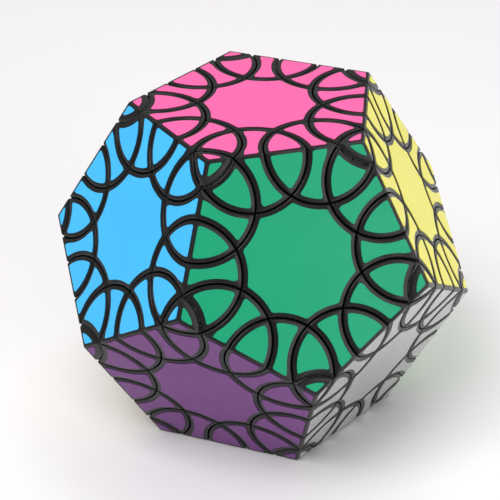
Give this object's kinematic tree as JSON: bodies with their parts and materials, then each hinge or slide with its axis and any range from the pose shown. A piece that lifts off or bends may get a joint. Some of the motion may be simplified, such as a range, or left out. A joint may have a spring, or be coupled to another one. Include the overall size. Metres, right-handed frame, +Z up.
{
  "type": "dodecahedron twisty puzzle",
  "caption": "Dodecahedron twisty puzzle: discs near the vertices turn on spring-loaded screws on a hollow core.",
  "frame": {"origin": "centre of the underside of the bottom face's middle sticker, on which the puzzle rests", "axes": "+Z up along the axis through the bottom and top faces; -Y towards the green face"},
  "size_m": [0.11, 0.1156, 0.0939],
  "materials": {
    "black_plastic": "gloss",
    "steel": "satin",
    "spring_steel": "satin",
    "mixed_stickers": "gloss vinyl, one colour for each face",
    "stickers_pink": "gloss vinyl",
    "stickers_orange": "gloss vinyl",
    "stickers_blue": "gloss vinyl",
    "stickers_green": "gloss vinyl",
    "stickers_yellow": "gloss vinyl",
    "stickers_red": "gloss vinyl",
    "stickers_navy": "gloss vinyl",
    "stickers_cream": "gloss vinyl",
    "stickers_purple": "gloss vinyl",
    "stickers_grey": "gloss vinyl",
    "stickers_mint": "gloss vinyl",
    "stickers_white": "gloss vinyl"
  },
  "bodies": {
    "puzzle_body": {"core_lower": "black_plastic", "core_upper": "black_plastic", "centre_pieces": "black_plastic", "centre_caps": "black_plastic", "edge_pieces": "black_plastic", "petal_pieces": "black_plastic", "screws": "steel", "springs": "spring_steel", "stickers_pink": "stickers_pink", "stickers_orange": "stickers_orange", "stickers_blue": "stickers_blue", "stickers_green": "stickers_green", "stickers_yellow": "stickers_yellow", "stickers_red": "stickers_red", "stickers_navy": "stickers_navy", "stickers_cream": "stickers_cream", "stickers_purple": "stickers_purple", "stickers_grey": "stickers_grey", "stickers_mint": "stickers_mint", "stickers_white": "stickers_white"},
    "turning_disc_01": {"disc_01": "black_plastic", "disc_stickers_01": "mixed_stickers"},
    "turning_disc_02": {"disc_02": "black_plastic", "disc_stickers_02": "mixed_stickers"},
    "turning_disc_03": {"disc_03": "black_plastic", "disc_stickers_03": "mixed_stickers"},
    "turning_disc_04": {"disc_04": "black_plastic", "disc_stickers_04": "mixed_stickers"},
    "turning_disc_05": {"disc_05": "black_plastic", "disc_stickers_05": "mixed_stickers"},
    "turning_disc_06": {"disc_06": "black_plastic", "disc_stickers_06": "mixed_stickers"},
    "turning_disc_07": {"disc_07": "black_plastic", "disc_stickers_07": "mixed_stickers"},
    "turning_disc_08": {"disc_08": "black_plastic", "disc_stickers_08": "mixed_stickers"},
    "turning_disc_09": {"disc_09": "black_plastic", "disc_stickers_09": "mixed_stickers"},
    "turning_disc_10": {"disc_10": "black_plastic", "disc_stickers_10": "mixed_stickers"},
    "turning_disc_11": {"disc_11": "black_plastic", "disc_stickers_11": "mixed_stickers"},
    "turning_disc_12": {"disc_12": "black_plastic", "disc_stickers_12": "mixed_stickers"},
    "turning_disc_13": {"disc_13": "black_plastic", "disc_stickers_13": "mixed_stickers"},
    "turning_disc_14": {"disc_14": "black_plastic", "disc_stickers_14": "mixed_stickers"},
    "turning_disc_15": {"disc_15": "black_plastic", "disc_stickers_15": "mixed_stickers"},
    "turning_disc_16": {"disc_16": "black_plastic", "disc_stickers_16": "mixed_stickers"},
    "turning_disc_17": {"disc_17": "black_plastic", "disc_stickers_17": "mixed_stickers"},
    "turning_disc_18": {"disc_18": "black_plastic", "disc_stickers_18": "mixed_stickers"},
    "turning_disc_19": {"disc_19": "black_plastic", "disc_stickers_19": "mixed_stickers"},
    "turning_disc_20": {"disc_20": "black_plastic", "disc_stickers_20": "mixed_stickers"}
  },
  "joints": [
    {"name": "disc_01_turn", "type": "hinge", "parent": "puzzle_body", "child": "turning_disc_01", "pos_m": [-0.00939, 0.0289, 0.09374], "axis": [-0.1684, 0.5182, 0.8385], "continuous": true},
    {"name": "disc_02_turn", "type": "hinge", "parent": "puzzle_body", "child": "turning_disc_02", "pos_m": [-0.03039, 0, 0.09374], "axis": [-0.5449, 0, 0.8385], "continuous": true},
    {"name": "disc_03_turn", "type": "hinge", "parent": "puzzle_body", "child": "turning_disc_03", "pos_m": [-0.00939, -0.0289, 0.09374], "axis": [-0.1684, -0.5182, 0.8385], "continuous": true},
    {"name": "disc_04_turn", "type": "hinge", "parent": "puzzle_body", "child": "turning_disc_04", "pos_m": [0.02459, -0.01786, 0.09374], "axis": [0.4408, -0.3203, 0.8385], "continuous": true},
    {"name": "disc_05_turn", "type": "hinge", "parent": "puzzle_body", "child": "turning_disc_05", "pos_m": [0.02459, 0.01786, 0.09374], "axis": [0.4408, 0.3203, 0.8385], "continuous": true},
    {"name": "disc_06_turn", "type": "hinge", "parent": "puzzle_body", "child": "turning_disc_06", "pos_m": [-0.00939, 0.05476, 0.05191], "axis": [-0.1684, 0.9817, 0.0885], "continuous": true},
    {"name": "disc_07_turn", "type": "hinge", "parent": "puzzle_body", "child": "turning_disc_07", "pos_m": [-0.05498, 0.00799, 0.05191], "axis": [-0.9857, 0.1432, 0.0885], "continuous": true},
    {"name": "disc_08_turn", "type": "hinge", "parent": "puzzle_body", "child": "turning_disc_08", "pos_m": [-0.02459, -0.04982, 0.05191], "axis": [-0.4408, -0.8932, 0.0885], "continuous": true},
    {"name": "disc_09_turn", "type": "hinge", "parent": "puzzle_body", "child": "turning_disc_09", "pos_m": [0.03978, -0.03878, 0.05191], "axis": [0.7133, -0.6953, 0.0885], "continuous": true},
    {"name": "disc_10_turn", "type": "hinge", "parent": "puzzle_body", "child": "turning_disc_10", "pos_m": [0.04917, 0.02585, 0.05191], "axis": [0.8817, 0.4635, 0.0885], "continuous": true},
    {"name": "disc_11_turn", "type": "hinge", "parent": "puzzle_body", "child": "turning_disc_11", "pos_m": [-0.03978, 0.03878, 0.04203], "axis": [-0.7133, 0.6953, -0.0885], "continuous": true},
    {"name": "disc_12_turn", "type": "hinge", "parent": "puzzle_body", "child": "turning_disc_12", "pos_m": [-0.04917, -0.02585, 0.04203], "axis": [-0.8817, -0.4635, -0.0885], "continuous": true},
    {"name": "disc_13_turn", "type": "hinge", "parent": "puzzle_body", "child": "turning_disc_13", "pos_m": [0.00939, -0.05476, 0.04203], "axis": [0.1684, -0.9817, -0.0885], "continuous": true},
    {"name": "disc_14_turn", "type": "hinge", "parent": "puzzle_body", "child": "turning_disc_14", "pos_m": [0.05498, -0.00799, 0.04203], "axis": [0.9857, -0.1432, -0.0885], "continuous": true},
    {"name": "disc_15_turn", "type": "hinge", "parent": "puzzle_body", "child": "turning_disc_15", "pos_m": [0.02459, 0.04982, 0.04203], "axis": [0.4408, 0.8932, -0.0885], "continuous": true},
    {"name": "disc_16_turn", "type": "hinge", "parent": "puzzle_body", "child": "turning_disc_16", "pos_m": [-0.02459, 0.01786, 0.0002], "axis": [-0.4408, 0.3203, -0.8385], "continuous": true},
    {"name": "disc_17_turn", "type": "hinge", "parent": "puzzle_body", "child": "turning_disc_17", "pos_m": [-0.02459, -0.01786, 0.0002], "axis": [-0.4408, -0.3203, -0.8385], "continuous": true},
    {"name": "disc_18_turn", "type": "hinge", "parent": "puzzle_body", "child": "turning_disc_18", "pos_m": [0.00939, -0.0289, 0.0002], "axis": [0.1684, -0.5182, -0.8385], "continuous": true},
    {"name": "disc_19_turn", "type": "hinge", "parent": "puzzle_body", "child": "turning_disc_19", "pos_m": [0.03039, 0, 0.0002], "axis": [0.5449, 0, -0.8385], "continuous": true},
    {"name": "disc_20_turn", "type": "hinge", "parent": "puzzle_body", "child": "turning_disc_20", "pos_m": [0.00939, 0.0289, 0.0002], "axis": [0.1684, 0.5182, -0.8385], "continuous": true}
  ]
}
